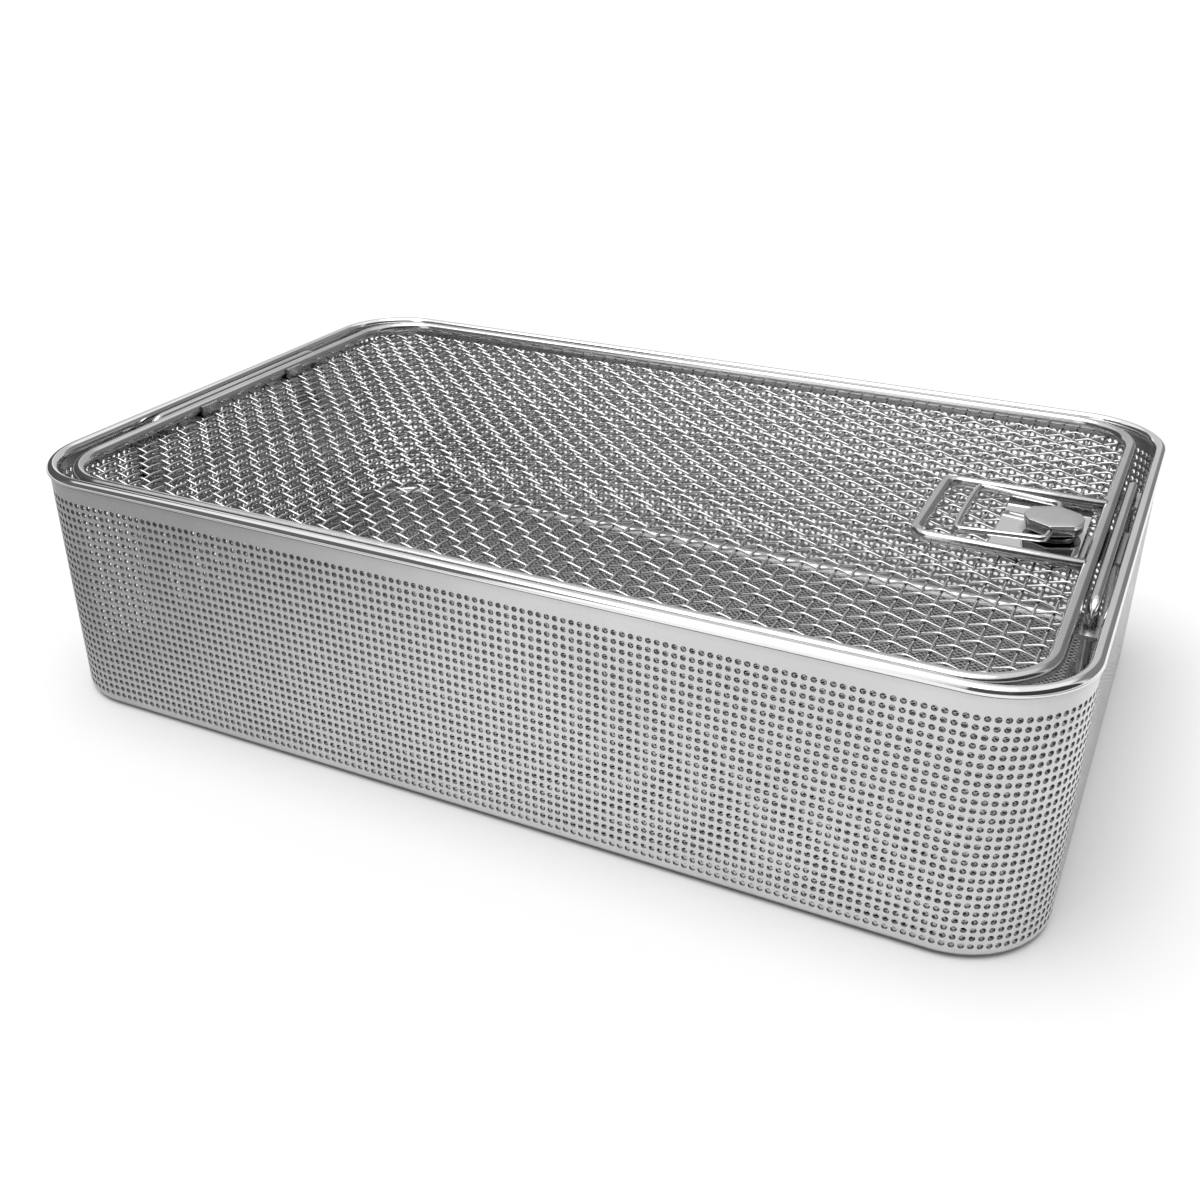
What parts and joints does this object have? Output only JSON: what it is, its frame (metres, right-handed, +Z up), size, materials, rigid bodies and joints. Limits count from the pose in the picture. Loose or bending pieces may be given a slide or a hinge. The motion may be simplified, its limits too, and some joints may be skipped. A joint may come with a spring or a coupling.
{
  "type": "instrument cassette",
  "caption": "Deep perforated steel tray with rolled rim and sliding end handles, closed by a hooked woven mesh lid with a sliding bolt latch, round knob and wire bail.",
  "frame": {"origin": "centre of the underside of the tray's floor, which is the bottom centre of the bounding box", "axes": "+X along the length towards the latch end, +Y along the depth away from the front wall, +Z up"},
  "size_m": [0.405, 0.255, 0.1017],
  "materials": {
    "perforated_sheet": "satin, electropolished",
    "rolled_rim": "semi-bright",
    "rod_steel": "electropolished",
    "mesh_wire": "electropolished",
    "bracket_steel": "satin",
    "polished_plate": "mirror polished",
    "knob_steel": "fine satin",
    "latch_steel": "satin",
    "spring_wire": "bright"
  },
  "bodies": {
    "tray": {"tray_wall": "perforated_sheet", "tray_floor": "perforated_sheet", "rim_bead": "rolled_rim", "handle_guides_left": "bracket_steel", "handle_guides_right": "bracket_steel", "hook_catches": "bracket_steel", "latch_strike": "bracket_steel"},
    "handle_left": {"handle_left": "rod_steel", "handle_stops_left": "bracket_steel"},
    "handle_right": {"handle_right": "rod_steel", "handle_stops_right": "bracket_steel"},
    "lid": {"lid_frame": "rod_steel", "lid_mesh_long_wires": "mesh_wire", "lid_mesh_cross_wires": "mesh_wire", "guard_frame": "rod_steel", "latch_plate": "polished_plate", "bolt_keepers": "bracket_steel", "lid_hooks": "bracket_steel"},
    "latch": {"latch_bolt": "latch_steel", "latch_spindle": "latch_steel", "latch_knob": "knob_steel", "friction_washer": "latch_steel", "retaining_ring": "latch_steel"},
    "bail": {"bail": "spring_wire"}
  },
  "joints": [
    {"name": "lid_tilt", "type": "hinge", "parent": "tray", "child": "lid", "pos_m": [-0.18875, 0, 0.097], "axis": [0, -1, 0], "range_deg": [0, 95]},
    {"name": "latch_slide", "type": "slide", "parent": "lid", "child": "latch", "axis": [1, 0, 0], "range_m": [0, 0.003]},
    {"name": "bail_lift", "type": "hinge", "parent": "latch", "child": "bail", "pos_m": [0.17265, 0, 0.09965], "axis": [0, 1, 0], "range_deg": [0, 110]},
    {"name": "handle_left_lift", "type": "slide", "parent": "tray", "child": "handle_left", "axis": [0, 0, 1], "range_m": [0, 0.035]},
    {"name": "handle_right_lift", "type": "slide", "parent": "tray", "child": "handle_right", "axis": [0, 0, 1], "range_m": [0, 0.035]}
  ]
}
